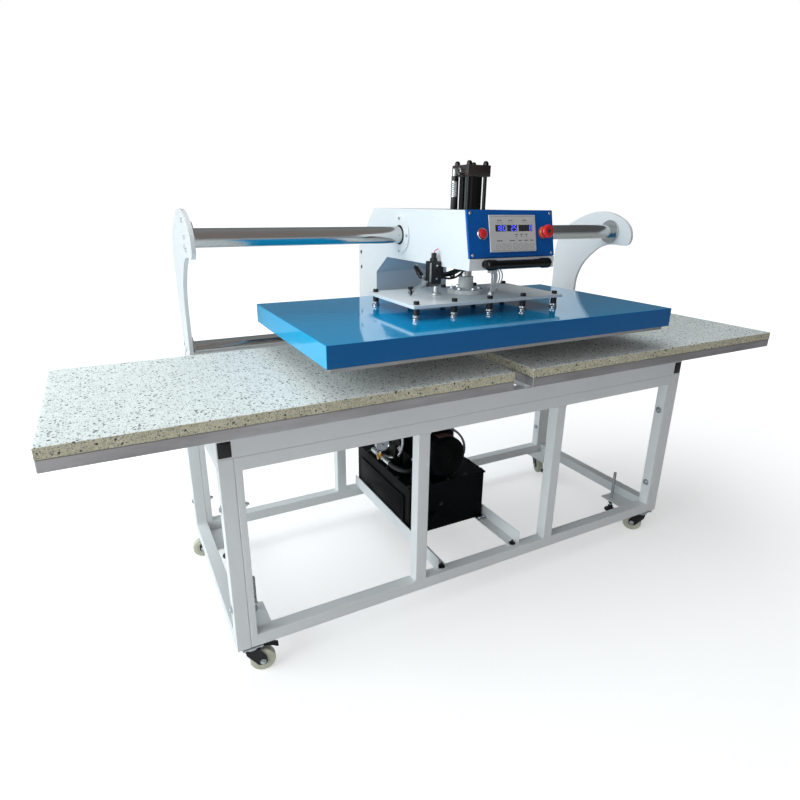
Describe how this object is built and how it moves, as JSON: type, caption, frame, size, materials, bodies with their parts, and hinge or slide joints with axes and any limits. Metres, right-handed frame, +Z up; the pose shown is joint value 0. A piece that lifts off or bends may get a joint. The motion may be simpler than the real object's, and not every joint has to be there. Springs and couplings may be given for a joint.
{
  "type": "double-station heat press",
  "caption": "Large-format shuttle heat press: a wheeled square-tube stand carries side-by-side beds, and a hydraulic head with a heated platen slides across on guide tubes.",
  "frame": {"origin": "on the floor, in the middle of the machine's footprint", "axes": "+Z up; +X along the guide tubes, towards the right-hand bed as seen by the operator; +Y from the operator to the back"},
  "size_m": [2.472, 0.847, 1.4465],
  "materials": {
    "powder_white": "satin powder coat",
    "panel_blue": "gloss paint",
    "platen_blue": "high-gloss stoved enamel",
    "bed_aluminium": "milled, dull",
    "heating_aluminium": "machined",
    "chrome": "hard chrome, polished",
    "zinc_steel": "bright zinc plated",
    "machined_steel": "turned",
    "speckled_pad": "matt silicone sponge with black speckles",
    "insulation": "mineral-fibre board",
    "black_enamel": "black enamel",
    "black_plastic": "moulded",
    "black_rubber": "smooth hose cover",
    "cream_nylon": "moulded nylon",
    "signal_red": "moulded, glossy",
    "silver_fascia": "satin silver fascia",
    "brass": "machined"
  },
  "bodies": {
    "stand": {"end_frame_left": "powder_white", "end_frame_right": "powder_white", "long_frame_front": "powder_white", "long_frame_rear": "powder_white", "bed_frame": "powder_white", "tube_plug_left": "black_plastic", "tube_plug_right": "black_plastic", "bed_plate_left": "bed_aluminium", "bed_plate_right": "bed_aluminium", "bed_pad_left": "speckled_pad", "bed_pad_right": "speckled_pad", "end_bracket_left": "powder_white", "end_bracket_right": "powder_white", "upper_guide_tube": "chrome", "lower_guide_tube": "chrome", "pump_rail_left": "powder_white", "pump_rail_right": "powder_white", "oil_tank": "black_enamel", "pump_motor": "black_enamel", "valve_block": "black_enamel", "pressure_line": "brass", "pressure_gauge": "chrome", "pump_hose": "black_rubber"},
    "head": {"head_side_plate_left": "powder_white", "head_side_plate_right": "powder_white", "head_base": "powder_white", "head_cover": "powder_white", "throat_cover": "powder_white", "upper_bearing": "machined_steel", "lower_bearing": "machined_steel", "control_panel": "panel_blue", "controller": "silver_fascia", "handle": "black_enamel", "cylinder_barrel": "black_enamel", "cylinder_head": "black_enamel", "cylinder_hose": "black_rubber", "limit_switch": "black_plastic"},
    "press": {"press_ram": "chrome", "ram_hub": "machined_steel", "carrier_plate": "powder_white", "platen_cover": "platen_blue", "insulation_board": "insulation", "heating_plate": "heating_aluminium", "guide_rod_left": "chrome", "guide_rod_right": "chrome"},
    "start_button": {"start_button": "signal_red"},
    "emergency_stop": {"emergency_stop": "signal_red"},
    "switch_lever": {"switch_lever": "zinc_steel"},
    "caster_fork_front_left": {"caster_fork_front_left": "black_enamel"},
    "caster_wheel_front_left": {"caster_wheel_front_left": "cream_nylon"},
    "caster_fork_front_right": {"caster_fork_front_right": "black_enamel"},
    "caster_wheel_front_right": {"caster_wheel_front_right": "cream_nylon"},
    "caster_fork_rear_left": {"caster_fork_rear_left": "black_enamel"},
    "caster_wheel_rear_left": {"caster_wheel_rear_left": "cream_nylon"},
    "caster_fork_rear_right": {"caster_fork_rear_right": "black_enamel"},
    "caster_wheel_rear_right": {"caster_wheel_rear_right": "cream_nylon"},
    "levelling_foot_front_left": {"levelling_foot_front_left": "zinc_steel"},
    "levelling_foot_front_right": {"levelling_foot_front_right": "zinc_steel"},
    "levelling_foot_rear_left": {"levelling_foot_rear_left": "zinc_steel"},
    "levelling_foot_rear_right": {"levelling_foot_rear_right": "zinc_steel"}
  },
  "joints": [
    {"name": "head_slide", "type": "slide", "parent": "stand", "child": "head", "axis": [1, 0, 0], "range_m": [-0.636, 0.636]},
    {"name": "press_slide", "type": "slide", "parent": "head", "child": "press", "axis": [0, 0, -1], "range_m": [0, 0.066]},
    {"name": "start_button_press", "type": "slide", "parent": "head", "child": "start_button", "axis": [0, 0.9779, -0.2093], "range_m": [0, 0.0025], "stiffness_N_per_m": 400},
    {"name": "emergency_stop_press", "type": "slide", "parent": "head", "child": "emergency_stop", "axis": [0, 0.9779, -0.2093], "range_m": [0, 0.004], "stiffness_N_per_m": 1200},
    {"name": "switch_lever_turn", "type": "hinge", "parent": "head", "child": "switch_lever", "pos_m": [-0.196, -0.1615, 1.096], "axis": [1, 0, 0], "range_deg": [0, 18], "stiffness_Nm_per_rad": 0.6},
    {"name": "caster_swivel_front_left", "type": "hinge", "parent": "stand", "child": "caster_fork_front_left", "pos_m": [-0.832, -0.2885, 0.1], "axis": [0, 0, 1], "continuous": true},
    {"name": "caster_roll_front_left", "type": "hinge", "parent": "caster_fork_front_left", "child": "caster_wheel_front_left", "pos_m": [-0.80246, -0.29371, 0.0375], "axis": [0.1736, 0.9848, 0], "continuous": true},
    {"name": "caster_swivel_front_right", "type": "hinge", "parent": "stand", "child": "caster_fork_front_right", "pos_m": [0.832, -0.2885, 0.1], "axis": [0, 0, 1], "continuous": true},
    {"name": "caster_roll_front_right", "type": "hinge", "parent": "caster_fork_front_right", "child": "caster_wheel_front_right", "pos_m": [0.81437, -0.26423, 0.0375], "axis": [-0.809, -0.5878, 0], "continuous": true},
    {"name": "caster_swivel_rear_left", "type": "hinge", "parent": "stand", "child": "caster_fork_rear_left", "pos_m": [-0.832, 0.3735, 0.1], "axis": [0, 0, 1], "continuous": true},
    {"name": "caster_roll_rear_left", "type": "hinge", "parent": "caster_fork_rear_left", "child": "caster_wheel_rear_left", "pos_m": [-0.86184, 0.37664, 0.0375], "axis": [-0.1045, -0.9945, 0], "continuous": true},
    {"name": "caster_swivel_rear_right", "type": "hinge", "parent": "stand", "child": "caster_fork_rear_right", "pos_m": [0.832, 0.3735, 0.1], "axis": [0, 0, 1], "continuous": true},
    {"name": "caster_roll_rear_right", "type": "hinge", "parent": "caster_fork_rear_right", "child": "caster_wheel_rear_right", "pos_m": [0.82174, 0.34531, 0.0375], "axis": [0.9397, -0.342, 0], "continuous": true},
    {"name": "levelling_foot_front_left_slide", "type": "slide", "parent": "stand", "child": "levelling_foot_front_left", "axis": [0, 0, -1], "range_m": [-0.01, 0.047]},
    {"name": "levelling_foot_front_right_slide", "type": "slide", "parent": "stand", "child": "levelling_foot_front_right", "axis": [0, 0, -1], "range_m": [-0.01, 0.047]},
    {"name": "levelling_foot_rear_left_slide", "type": "slide", "parent": "stand", "child": "levelling_foot_rear_left", "axis": [0, 0, -1], "range_m": [-0.01, 0.047]},
    {"name": "levelling_foot_rear_right_slide", "type": "slide", "parent": "stand", "child": "levelling_foot_rear_right", "axis": [0, 0, -1], "range_m": [-0.01, 0.047]}
  ]
}
